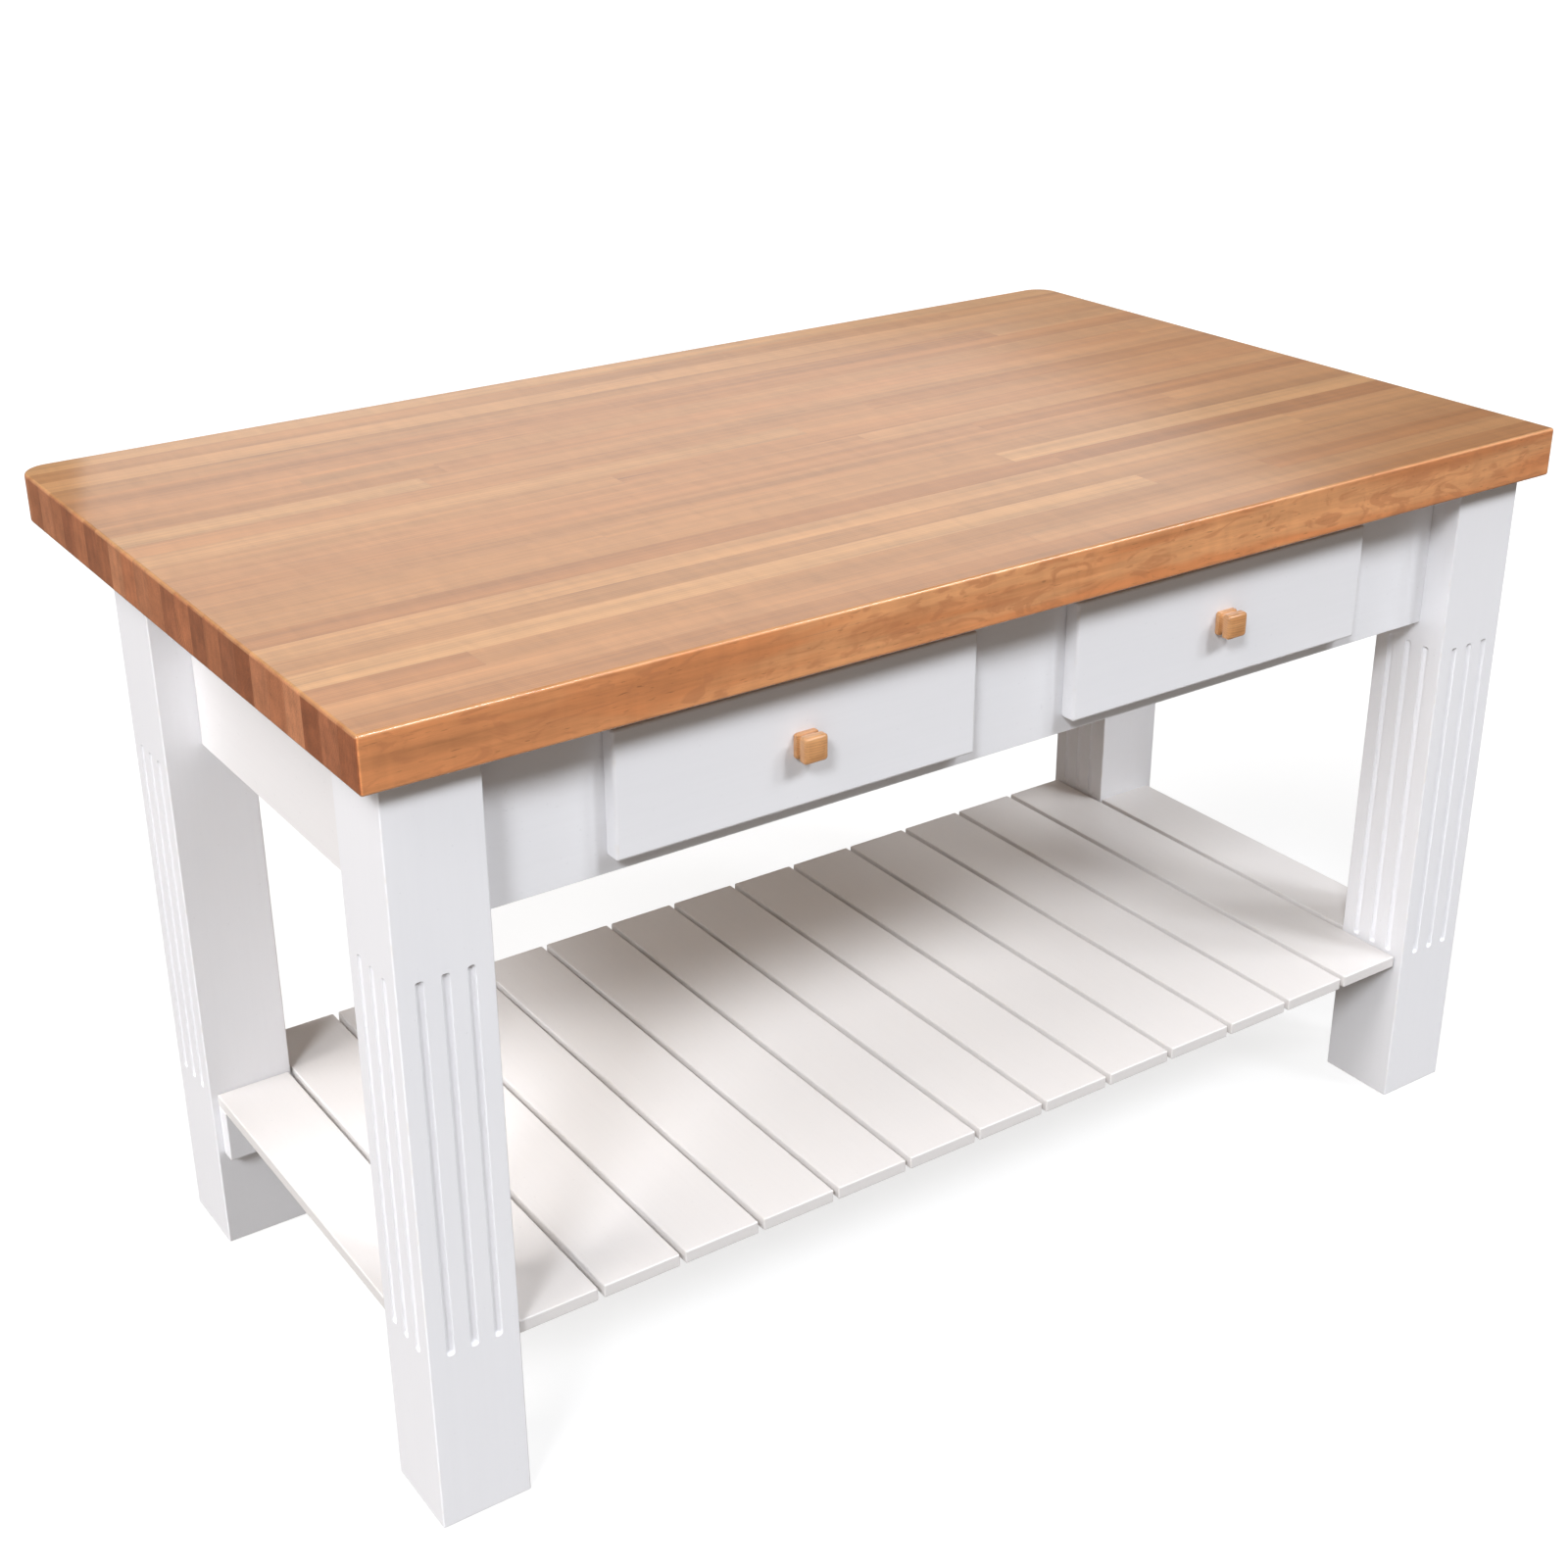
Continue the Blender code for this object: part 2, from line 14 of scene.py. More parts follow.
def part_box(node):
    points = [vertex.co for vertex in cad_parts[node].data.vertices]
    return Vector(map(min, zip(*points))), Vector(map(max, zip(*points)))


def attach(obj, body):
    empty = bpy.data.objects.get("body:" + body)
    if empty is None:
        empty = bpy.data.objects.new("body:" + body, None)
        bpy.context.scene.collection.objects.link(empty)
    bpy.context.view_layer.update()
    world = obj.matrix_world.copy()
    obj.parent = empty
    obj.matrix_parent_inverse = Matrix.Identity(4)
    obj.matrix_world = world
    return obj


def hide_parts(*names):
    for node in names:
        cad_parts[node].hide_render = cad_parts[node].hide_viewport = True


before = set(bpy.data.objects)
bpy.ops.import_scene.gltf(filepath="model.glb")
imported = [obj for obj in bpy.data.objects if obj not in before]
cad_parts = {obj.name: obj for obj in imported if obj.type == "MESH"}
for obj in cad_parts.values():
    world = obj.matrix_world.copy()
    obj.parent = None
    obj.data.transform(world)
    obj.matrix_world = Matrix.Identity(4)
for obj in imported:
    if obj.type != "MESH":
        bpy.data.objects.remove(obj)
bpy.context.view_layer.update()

# Camera: where it stands, how it is turned, its lens and the offset of its optical axis
CAMERA_PLACE = (-1.411, -2.027, 1.632)
CAMERA_TILT = 65.16
CAMERA_HEADING = -33.28
CAMERA_ROLL = -0.83
CAMERA_LENS = 50.83
CAMERA_SHIFT = (0.0269, -0.0132)

# Worktop: radii of its edges, width and number of the glued strips
TOP_EASING = 0.0035
REAR_CORNER_RADIUS = 0.032
STRIP_WIDTH = 0.0381
STRIP_COUNT = 24

# Legs and their flutes. The lip is how far the paint softens a flute's edge. The shoulders are
# how far beside it the leg's mesh gets extra columns. Between the lip shade depths the paint is
# darkened: painted shade along the flute edges.
LEG_EASING = 0.0018
FLUTE_RADIUS = 0.0045
FLUTE_DEPTH = 0.0042
FLUTE_BOTTOM = 0.208
FLUTE_TOP = 0.628
FLUTE_SPACING = 0.0262
FLUTE_LIP = 0.00015
SHOULDERS = (0.00012, 0.0005)
LIP_SHADE_DEPTHS = (0.00002, 0.0004)

# Boards
APRON_EASING = 0.0008
FRAME_EASING = 0.0008
SLAT_EASING = 0.0016
FRONT_EASING = 0.0035
CLEARANCE = 0.0003
SCREW_HOLE_RADIUS = 0.0023

# Knobs, from the wall out: an eased square flange, a cove, then a head with a rounded rim
KNOB_HALF = 0.0140
FLANGE_HALF = 0.0135
FLANGE_EASING = 0.0006
FLANGE_THICKNESS = 0.0046
HEAD_START = 0.0008
KNOB_CORNER_RADIUS = 0.0035
KNOB_ROUNDING = 0.0035
COVE_RADIUS = 0.0030
COVE_DEPTH = 0.0085
KNOB_PROJECTION = 0.0215
KNOB_CROWN = 0.0008

# Studio
FLOOR_RADIUS = 40.0
DOME_RADIUS = 40.5
LIGHT_DISTANCE = 8.0
WHITE = (1.0, 1.0, 1.0)
COOL = (0.925, 0.955, 1.0)
FAINT_PINK = (1.0, 0.985, 0.985)
WARM_SHADE = (1.0, 0.82, 0.66, 1.0)

# Distant lights: name, azimuth from the front (-Y) towards the right (+X), elevation and width in
# degrees, strength, colour, and whether gloss mirrors it. The widest are too wide for that:
# their reflections would wash the varnish out. The bounces shine up, as a pale floor would.
FAR_LIGHTS = (
    ("key", 28.0, 44.0, 13.0, 1.35, COOL, True),
    ("right side", 50.0, 37.0, 13.0, 0.8, COOL, True),
    ("fill", -50.0, 39.0, 13.0, 1.8, COOL, True),
    ("left sky", -85.0, 30.0, 40.0, 1.2, FAINT_PINK, False),
    ("left window", -90.0, 52.0, 30.0, 1.6, FAINT_PINK, False),
    ("floor bounce", -35.0, -25.0, 60.0, 0.40, WHITE, False),
    ("rear bounce", 142.0, -16.0, 60.0, 1.35, WHITE, False),
)

SIDES = ("left", "right")
EDGE = "edge"


# ---------------------------------------------------------------- shader nodes


class Shader:
    """Short calls that add nodes to one material. Places are in the piece's own metres."""

    def __init__(self, name, **settings):
        self.material = bpy.data.materials.new(name)
        self.material.use_nodes = True
        self.nodes = self.material.node_tree.nodes
        self.links = self.material.node_tree.links
        self.surface = self.nodes["Principled BSDF"]
        for key, value in settings.items():
            self.put(value, self.surface.inputs[key.replace("_", " ").title().replace("Ior", "IOR")])
        self.coordinates = self.nodes.new("ShaderNodeTexCoord")
        self.place = self.coordinates.outputs["Object"]
        split = self.nodes.new("ShaderNodeSeparateXYZ")
        self.put(self.place, split.inputs[0])
        self.x, self.y, self.z = split.outputs

    def put(self, value, socket):
        """Link a node's output to a socket, or set the socket's own value."""
        if isinstance(value, bpy.types.NodeSocket):
            self.links.new(value, socket)
        else:
            socket.default_value = value

    def node(self, kind, inputs, output=0, **settings):
        node = self.nodes.new("ShaderNode" + kind)
        for key, value in settings.items():
            setattr(node, key, value)
        for key, value in inputs.items():
            self.put(value, node.inputs[key])
        return node.outputs[output]

    def math(self, operation, *values):
        return self.node("Math", dict(enumerate(values)), operation=operation)

    def add(self, a, b):
        return self.math("ADD", a, b)

    def times(self, a, b):
        return self.math("MULTIPLY", a, b)

    def vector(self, x, y, z):
        return self.node("CombineXYZ", {0: x, 1: y, 2: z})

    def scaled(self, scale, offset=None):
        """The place in the piece, stretched by a scale for each axis and moved by an offset."""
        stretched = self.node(
            "VectorMath", {0: self.place, 1: scale}, operation="MULTIPLY"
        )
        if offset is None:
            return stretched
        return self.node("VectorMath", {0: stretched, 1: offset}, operation="ADD")

    def noise(self, where, detail=2.0, roughness=0.5, distortion=0.0):
        return self.node(
            "TexNoise",
            {"Vector": where, "Scale": 1.0, "Detail": detail, "Roughness": roughness,
             "Distortion": distortion},
        )

    def random(self, x, y, z):
        """(value, colour) that are random for each whole-number place."""
        noise = self.nodes.new("ShaderNodeTexWhiteNoise")
        noise.noise_dimensions = "3D"
        self.put(self.vector(x, y, z), noise.inputs["Vector"])
        return noise.outputs["Value"], noise.outputs["Color"]

    def band(self, value, low, high, bottom=0.0, top=1.0):
        """value, taken smoothly from bottom at low to top at high."""
        return self.node(
            "MapRange",
            {"Value": value, "From Min": low, "From Max": high, "To Min": bottom, "To Max": top},
            interpolation_type="SMOOTHSTEP",
        )

    def ramp(self, value, stops):
        ramp = self.nodes.new("ShaderNodeValToRGB")
        self.put(value, ramp.inputs[0])
        elements = ramp.color_ramp.elements
        while len(elements) < len(stops):
            elements.new(0.5)
        for element, (position, colour) in zip(elements, stops):
            element.position = position
            element.color = (*colour, 1.0)
        return ramp.outputs["Color"]

    def mix(self, factor, a, b, blend="MIX"):
        colours = [(*c, 1.0) if isinstance(c, tuple) else c for c in (a, b)]
        return self.node(
            "Mix", {0: factor, 6: colours[0], 7: colours[1]}, output=2, data_type="RGBA",
            blend_type=blend,
        )

    def shade(self, colour, amount):
        """colour made lighter or darker by a factor near 1."""
        return self.node(
            "HueSaturation", {"Color": colour, "Value": amount, "Hue": 0.5, "Saturation": 1.0}
        )

    def attribute(self, name):
        return self.node("Attribute", {}, output=2, attribute_name=name)

    def finish(self, colour, roughness=None, bumps=()):
        """Connect the colour, the roughness and a chain of (height, distance, strength) bumps."""
        self.put(colour, self.surface.inputs["Base Color"])
        if roughness is not None:
            self.put(roughness, self.surface.inputs["Roughness"])
        normal = None
        for height, distance, strength in bumps:
            inputs = {"Height": height, "Distance": distance, "Strength": strength}
            if normal is not None:
                inputs["Normal"] = normal
            normal = self.node("Bump", inputs)
        if normal is not None:
            self.put(normal, self.surface.inputs["Normal"])
        return self.material


def along(axis, long_scale, cross_scale):
    """A noise scale for each axis that stretches a pattern along one of them."""
    return tuple(long_scale if name == axis else cross_scale for name in "xyz")


# ---------------------------------------------------------------- materials


def worktop_material():
    """Maple strips glued on edge: each stave has its own tone, grain and figure, under varnish."""
    s = Shader("worktop maple", coat_weight=0.8, coat_roughness=0.10, coat_ior=1.5, ior=1.45)
    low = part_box("worktop")[0]
    middle_z = sum(corner.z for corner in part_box("worktop")) / 2
    row_place = s.math("DIVIDE", s.math("SUBTRACT", s.y, low.y), STRIP_WIDTH)
    row = s.math("FLOOR", row_place)
    across = s.math("FRACT", row_place)
    row_random, row_colour = s.random(row, 3.0, 5.0)
    row_parts = s.nodes.new("ShaderNodeSeparateColor")
    s.put(row_colour, row_parts.inputs[0])
    middle_row = (STRIP_COUNT - 1) / 2
    from_middle = s.math("ABSOLUTE", s.math("SUBTRACT", row, middle_row))
    outer = s.math("GREATER_THAN", from_middle, middle_row - 0.5)
    # The two outer rows are one stave each, so their length is far more than the worktop's
    length = s.add(s.band(row_parts.outputs[0], 0.0, 1.0, 0.95, 1.75), s.times(outer, 8.0))
    shift = s.times(s.math("SUBTRACT", 1.0, outer), s.times(row_random, 19.0))
    length_place = s.add(s.math("DIVIDE", s.add(s.x, 1.0), length), shift)
    stave = s.math("FLOOR", length_place)
    lengthwise = s.math("FRACT", length_place)
    tone, stave_colour = s.random(row, stave, 11.0)
    stave_parts = s.nodes.new("ShaderNodeSeparateColor")
    s.put(stave_colour, stave_parts.inputs[0])
    first, second, third = stave_parts.outputs
    # Rows tend to be darker and paler by turns
    odd_row = s.times(s.math("FRACT", s.times(row, 0.5)), 2.0)
    tone = s.add(s.times(tone, 0.58), s.times(odd_row, 0.42))

    # Each stave's own piece of tree
    offset = s.vector(s.times(first, 37.0), s.times(second, 53.0), s.times(third, 71.0))

    # Growth rings: cylinders along X, whose centre lies beyond the stave's wide face
    side = s.math("SIGN", s.math("SUBTRACT", first, 0.5))
    centre_y = s.times(side, s.band(second, 0.0, 1.0, 0.05, 0.16))
    local_y = s.math("SUBTRACT", s.times(across, STRIP_WIDTH), centre_y)
    local_z = s.math("SUBTRACT", s.z, s.band(third, 0.0, 1.0, middle_z - 0.04, middle_z + 0.04))
    drift = s.noise(s.scaled((1.9, 9.0, 9.0), offset), detail=3.0)
    distance = s.math(
        "SQRT", s.add(s.times(local_y, local_y), s.times(local_z, local_z))
    )
    wander = s.times(s.math("SUBTRACT", drift, 0.5), 0.020)
    rings = s.math("FRACT", s.times(s.add(distance, wander), 290.0))
    late_wood = s.times(s.band(rings, 0.25, 0.9), s.band(rings, 0.9, 1.0, 1.0, 0.0))

    streaks = s.noise(s.scaled((4.0, 190.0, 190.0), offset), detail=5.0, roughness=0.68)
    broad = s.noise(s.scaled((1.1, 46.0, 46.0), offset), detail=2.0)
    figure = s.noise(s.scaled((52.0, 11.0, 11.0), offset), detail=2.0, distortion=0.6)
    blotch = s.noise(s.scaled((7.0, 16.0, 22.0), offset), detail=3.0, distortion=1.2)
    fleck_noise = s.noise(s.scaled((70.0, 480.0, 480.0), offset), detail=1.0)
    flecks = s.band(fleck_noise, 0.66, 0.80)
    mineral_noise = s.noise(s.scaled((4.0, 250.0, 250.0), offset), detail=2.0, distortion=0.4)
    mineral_patch = s.noise(s.scaled((3.0, 21.0, 21.0), (4.0, 9.0, 2.0)), detail=1.0)
    mineral = s.times(s.band(mineral_noise, 0.66, 0.74), s.band(mineral_patch, 0.58, 0.68))

    colour = s.ramp(
        tone,
        (
            (0.00, (0.368, 0.157, 0.056)),
            (0.20, (0.405, 0.181, 0.066)),
            (0.42, (0.446, 0.216, 0.084)),
            (0.60, (0.428, 0.192, 0.073)),
            (0.80, (0.486, 0.245, 0.099)),
            (1.00, (0.514, 0.270, 0.112)),
        ),
    )

    # Which way the surface faces: along X shows end grain, along Y shows the strip's wide face
    normal = s.nodes.new("ShaderNodeSeparateXYZ")
    s.put(s.coordinates.outputs["Normal"], normal.inputs[0])
    end_grain = s.band(s.math("ABSOLUTE", normal.outputs[0]), 0.55, 0.85)
    wide_face = s.band(s.math("ABSOLUTE", normal.outputs[1]), 0.55, 0.85)

    value = s.add(1.0, s.times(s.math("SUBTRACT", streaks, 0.5), 0.62))
    value = s.add(value, s.times(s.math("SUBTRACT", broad, 0.5), 0.66))
    value = s.add(value, s.times(s.math("SUBTRACT", figure, 0.5), 0.26))
    value = s.math("SUBTRACT", value, s.times(late_wood, 0.075))
    face_blotch = s.times(s.math("SUBTRACT", blotch, 0.5), s.band(wide_face, 0.0, 1.0, 0.10, 0.42))
    value = s.add(value, face_blotch)
    value = s.math("SUBTRACT", value, s.times(flecks, s.band(wide_face, 0.0, 1.0, 0.10, 0.42)))
    colour = s.shade(colour, value)
    colour = s.mix(s.times(mineral, 0.55), colour, (0.22, 0.105, 0.055))

    # The front and back faces show the outer strips' wide face, redder in the heart wood and at the
    # left end, stained in curls. Their colour is lifted about twice over: partly the wide face's own
    # lighter tone, partly painted light making up for these faces getting less light than the top.
    # Cut ends drink in the oil.
    heart = s.noise(s.scaled((2.1, 9.0, 14.0), (6.0, 1.0, 3.0)), detail=3.0, distortion=0.8)
    left_end = s.band(s.x, -0.75, -0.1, 0.85, 0.0)
    red = s.math("MAXIMUM", s.band(heart, 0.46, 0.60), left_end)
    wide_face_tone_and_light = s.mix(red, (2.16, 2.26, 2.62), (1.86, 1.52, 1.46))
    colour = s.mix(wide_face, colour, s.mix(1.0, colour, wide_face_tone_and_light, "MULTIPLY"))
    curl = s.noise(s.scaled((15.0, 30.0, 46.0), (1.0, 7.0, 5.0)), detail=4.0, distortion=2.2)
    stain = s.times(s.times(wide_face, s.band(curl, 0.51, 0.64)), 0.55)
    colour = s.mix(stain, colour, (0.52, 0.185, 0.072))
    pores = s.noise(s.scaled((40.0, 1100.0, 1100.0)), detail=2.0)
    end_tone = s.mix(first, (0.70, 0.51, 0.62), (1.12, 0.88, 1.04))
    end_colour = s.mix(1.0, colour, end_tone, "MULTIPLY")
    end_value = s.band(pores, 0.35, 0.75, 1.06, 0.86)
    end_value = s.math("SUBTRACT", end_value, s.times(late_wood, 0.12))
    sub_stripe = s.noise(s.scaled((1.0, 125.0, 3.0), offset), detail=1.0)
    end_value = s.add(end_value, s.times(s.math("SUBTRACT", sub_stripe, 0.5), 0.34))
    colour = s.mix(end_grain, colour, s.shade(end_colour, end_value))

    # Glue lines between strips and hairline butt joints
    from_line = s.math("MINIMUM", across, s.math("SUBTRACT", 1.0, across))
    glue = s.band(s.times(from_line, STRIP_WIDTH), 0.0, 0.00045, 1.0, 0.0)
    from_end = s.math("MINIMUM", lengthwise, s.math("SUBTRACT", 1.0, lengthwise))
    butt = s.band(s.times(from_end, length), 0.0, 0.0005, 1.0, 0.0)
    seam = s.math("MAXIMUM", s.times(glue, 0.30), s.times(butt, 0.45))
    colour = s.mix(seam, colour, (0.32, 0.165, 0.085))

    # The eased edges are painted lighter and more orange in patches: a painted highlight along them
    edge_tint = s.times(s.attribute(EDGE), s.band(blotch, 0.35, 0.6, 0.10, 0.40))
    colour = s.mix(edge_tint, colour, (0.66, 0.37, 0.18))

    roughness = s.add(0.36, s.times(streaks, 0.14))
    return s.finish(
        colour,
        roughness,
        ((streaks, 0.00006, 0.5), (s.math("SUBTRACT", 1.0, seam), 0.00008, 0.5)),
    )


def paint_material(name, axis, tone=(0.850, 0.855, 0.884)):
    """White paint brushed on a board that runs along one axis; its grain still shows a little."""
    s = Shader(name, coat_weight=0.12, coat_roughness=0.22, ior=1.46)
    grain = s.noise(s.scaled(along(axis, 6.0, 240.0)), detail=4.0, roughness=0.6)
    brush = s.noise(s.scaled(along(axis, 22.0, 950.0)), detail=2.0)
    peel = s.noise(s.scaled((1500.0, 1500.0, 1500.0)), detail=1.0)
    cloud = s.noise(s.scaled((5.0, 5.0, 5.0)), detail=3.0)
    speck = s.band(s.noise(s.scaled((260.0, 260.0, 260.0)), detail=0.0), 0.79, 0.86)
    value = s.add(1.0, s.times(s.math("SUBTRACT", grain, 0.5), 0.030))
    value = s.add(value, s.times(s.math("SUBTRACT", cloud, 0.5), 0.035))
    value = s.math("SUBTRACT", value, s.times(speck, 0.05))
    warm = s.mix(cloud, tone, (tone[0], tone[1] * 0.992, tone[2] * 0.978))
    colour = s.shade(warm, value)
    # Eased edges get a darker, warmer tint in patches, as worn paint. The flute lips get the same
    # tint: painted shade along the flute edges.
    edge_patches = s.band(s.noise(s.scaled((45.0, 45.0, 45.0)), detail=3.0), 0.48, 0.70)
    edge_tint = s.times(s.times(s.attribute(EDGE), edge_patches), 0.30)
    colour = s.mix(edge_tint, colour, (0.72, 0.66, 0.57))
    roughness = s.add(0.34, s.times(cloud, 0.14))
    return s.finish(
        colour,
        roughness,
        ((grain, 0.00012, 0.45), (brush, 0.00005, 0.4), (peel, 0.00002, 0.3)),
    )


def maple_material(name, axis, light, dark, rough, ring_scale=260.0, coat=0.0, strength=1.0):
    """Solid maple with rings, streaks, figure and flecks along one axis."""
    s = Shader(name, coat_weight=coat, coat_roughness=0.14, coat_ior=1.5)
    streaks = s.noise(s.scaled(along(axis, 9.0, 420.0)), detail=4.0, roughness=0.6)
    broad = s.noise(s.scaled(along(axis, 3.0, 60.0)), detail=2.0)
    figure = s.noise(s.scaled(along(axis, 90.0, 20.0)), detail=2.0, distortion=0.5)
    flecks = s.band(s.noise(s.scaled(along(axis, 130.0, 1100.0)), detail=1.0), 0.64, 0.78)
    drift = s.noise(s.scaled(along(axis, 5.0, 18.0), (2.0, 8.0, 5.0)), detail=2.0)
    across = [s.add(coordinate, 0.043) for letter, coordinate in
              (("x", s.x), ("y", s.y), ("z", s.z)) if letter != axis]
    distance = s.math(
        "SQRT", s.add(s.times(across[0], across[0]), s.times(across[1], across[1]))
    )
    rings = s.math("FRACT", s.times(s.add(distance, s.times(drift, 0.03)), ring_scale))
    late_wood = s.times(s.band(rings, 0.2, 0.88), s.band(rings, 0.88, 1.0, 1.0, 0.0))
    colour = s.mix(s.band(broad, 0.3, 0.7), dark, light)
    value = s.add(1.0, s.times(s.math("SUBTRACT", streaks, 0.5), 0.24 * strength))
    value = s.add(value, s.times(s.math("SUBTRACT", figure, 0.5), 0.12 * strength))
    value = s.math("SUBTRACT", value, s.times(late_wood, 0.12 * strength))
    value = s.math("SUBTRACT", value, s.times(flecks, 0.14 * strength))
    edge_tint = s.times(s.attribute(EDGE), 0.25)
    colour = s.mix(edge_tint, s.shade(colour, value), light)
    roughness = s.add(rough, s.times(streaks, 0.12))
    return s.finish(colour, roughness, ((streaks, 0.00008, 0.5), (late_wood, 0.00003, 0.3)))


def plywood_material():
    """Birch plywood: rotary-cut faces with wide wavy grain, and plies on its edges."""
    s = Shader("drawer bottom plywood", ior=1.45)
    waves = s.noise(s.scaled((26.0, 3.5, 26.0)), detail=3.0, distortion=1.6)
    rings = s.math("FRACT", s.times(waves, 9.0))
    line = s.times(s.band(rings, 0.3, 0.9), s.band(rings, 0.9, 1.0, 1.0, 0.0))
    fibre = s.noise(s.scaled((420.0, 8.0, 420.0)), detail=3.0)
    plies = s.band(s.math("FRACT", s.times(s.z, 830.0)), 0.35, 0.65)
    normal = s.nodes.new("ShaderNodeSeparateXYZ")
    s.put(s.coordinates.outputs["Normal"], normal.inputs[0])
    on_edge = s.band(s.math("ABSOLUTE", normal.outputs[2]), 0.3, 0.7, 1.0, 0.0)
    value = s.add(1.0, s.times(s.math("SUBTRACT", fibre, 0.5), 0.18))
    value = s.math("SUBTRACT", value, s.times(line, 0.10))
    value = s.math("SUBTRACT", value, s.times(s.times(plies, on_edge), 0.28))
    colour = s.shade(s.mix(waves, (0.76, 0.60, 0.41), (0.66, 0.49, 0.32)), value)
    return s.finish(colour, s.add(0.50, s.times(fibre, 0.12)), ((fibre, 0.00006, 0.5),))


def zinc_material():
    """Zinc-plated rolled steel: faint rolling lines, cloudy plating, a trace of oil."""
    s = Shader("zinc plated steel", metallic=1.0, anisotropic=0.35)
    rolled = s.noise(s.scaled((1400.0, 12.0, 1400.0)), detail=3.0)
    cloud = s.noise(s.scaled((38.0, 38.0, 38.0)), detail=4.0)
    smear = s.band(s.noise(s.scaled((9.0, 30.0, 60.0)), detail=2.0), 0.5, 0.75)
    colour = s.mix(cloud, (0.56, 0.57, 0.59), (0.70, 0.71, 0.72))
    colour = s.shade(colour, s.add(0.93, s.times(rolled, 0.14)))
    roughness = s.add(s.add(0.20, s.times(cloud, 0.18)), s.times(smear, -0.08))
    return s.finish(colour, roughness, ((rolled, 0.00002, 0.5),))


def floor_material():
    """Matt studio paper, lit from within so that shadows on it stay pale."""
    s = Shader(
        "studio floor", roughness=0.9, emission_color=(*WHITE, 1.0), emission_strength=0.74
    )
    cloud = s.noise(s.scaled((0.6, 0.6, 0.6)), detail=2.0)
    value = s.add(0.97, s.times(cloud, 0.05))
    return s.finish(s.shade((0.28, 0.28, 0.28, 1.0), value))


def backdrop_material():
    """Plain white paper far behind everything."""
    s = Shader(
        "backdrop", roughness=1.0, emission_color=(*WHITE, 1.0), emission_strength=1.0
    )
    cloud = s.noise(s.scaled((0.05, 0.05, 0.05)), detail=1.0)
    return s.finish(s.shade((0.5, 0.5, 0.5, 1.0), s.add(0.97, cloud)))


# ---------------------------------------------------------------- meshes


def add_piece(name, bm, material, body, nodes):
    """A piece from bm that rides on a body and stands for some CAD nodes."""
    bmesh.ops.recalc_face_normals(bm, faces=bm.faces)
    mesh = bpy.data.meshes.new(name)
    bm.to_mesh(mesh)
    bm.free()
    mesh.shade_smooth()
    mesh.materials.append(material)
    piece = bpy.data.objects.new(name, mesh)
    bpy.context.scene.collection.objects.link(piece)
    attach(piece, body)
    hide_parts(*nodes)
    return piece


def level_faces(piece):
    """Flat faces keep their own normals; only the narrow faces between them blend."""
    weighted = piece.modifiers.new("weighted normals", "WEIGHTED_NORMAL")
    weighted.mode = "FACE_AREA"
    weighted.weight = 100
    weighted.keep_sharp = True


def mark_edges(bm, rounded):
    """Set the edge attribute: 1 along the middle of the rounded edges, 0 on the flat faces."""
    layer = bm.verts.layers.float.new(EDGE)
    rounded = set(rounded)
    for vert in bm.verts:
        vert[layer] = 1.0 if all(face in rounded for face in vert.link_faces) else 0.0


def eased_box(low, high, radius, segments=4):
    """bmesh of a box whose edges are all rounded."""
    bm = bmesh.new()
    bmesh.ops.create_cube(bm, size=1.0)
    size = high - low
    for vert in bm.verts:
        vert.co = Vector([(c + 0.5) * s + l for c, s, l in zip(vert.co, size, low)])
    made = bmesh.ops.bevel(
        bm, geom=bm.edges[:], offset=radius, segments=segments, profile=0.5, affect="EDGES"
    )
    mark_edges(bm, made["faces"])
    return bm


def node_box(nodes):
    """The box around several CAD nodes."""
    boxes = [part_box(node) for node in nodes]
    low = Vector([min(box[0][i] for box in boxes) for i in range(3)])
    high = Vector([max(box[1][i] for box in boxes) for i in range(3)])
    return low, high


def board(name, nodes, radius, material, body="base", segments=4):
    """An eased board as large as the nodes it stands for."""
    low, high = node_box(nodes)
    piece = add_piece(name, eased_box(low, high, radius, segments), material, body, nodes)
    level_faces(piece)
    return piece


def cut(piece, cutters):
    """Take closed shapes, given as bmeshes, out of a piece for good."""
    helper_mesh = bpy.data.meshes.new("cutter")
    joined = bmesh.new()
    for cutter in cutters:
        bmesh.ops.recalc_face_normals(cutter, faces=cutter.faces)
        cutter.to_mesh(helper_mesh)
        joined.from_mesh(helper_mesh)
        cutter.free()
    joined.to_mesh(helper_mesh)
    joined.free()
    helper = bpy.data.objects.new("cutter", helper_mesh)
    bpy.context.scene.collection.objects.link(helper)
    boolean = piece.modifiers.new("cut", "BOOLEAN")
    boolean.operation = "DIFFERENCE"
    boolean.solver = "EXACT"
    boolean.object = helper
    others = [m for m in piece.modifiers if m != boolean]
    for modifier in others:
        modifier.show_viewport = False
    bpy.context.view_layer.update()
    graph = bpy.context.evaluated_depsgraph_get()
    result = bpy.data.meshes.new_from_object(piece.evaluated_get(graph))
    piece.modifiers.remove(boolean)
    for modifier in others:
        modifier.show_viewport = True
    piece.data = result
    bpy.data.objects.remove(helper)
    result.set_sharp_from_angle(angle=math.radians(50))


def plain_box(low, high):
    bm = bmesh.new()
    bmesh.ops.create_cube(bm, size=1.0)
    for vert in bm.verts:
        vert.co = Vector([(c + 0.5) * (h - l) + l for c, l, h in zip(vert.co, low, high)])
    return bm


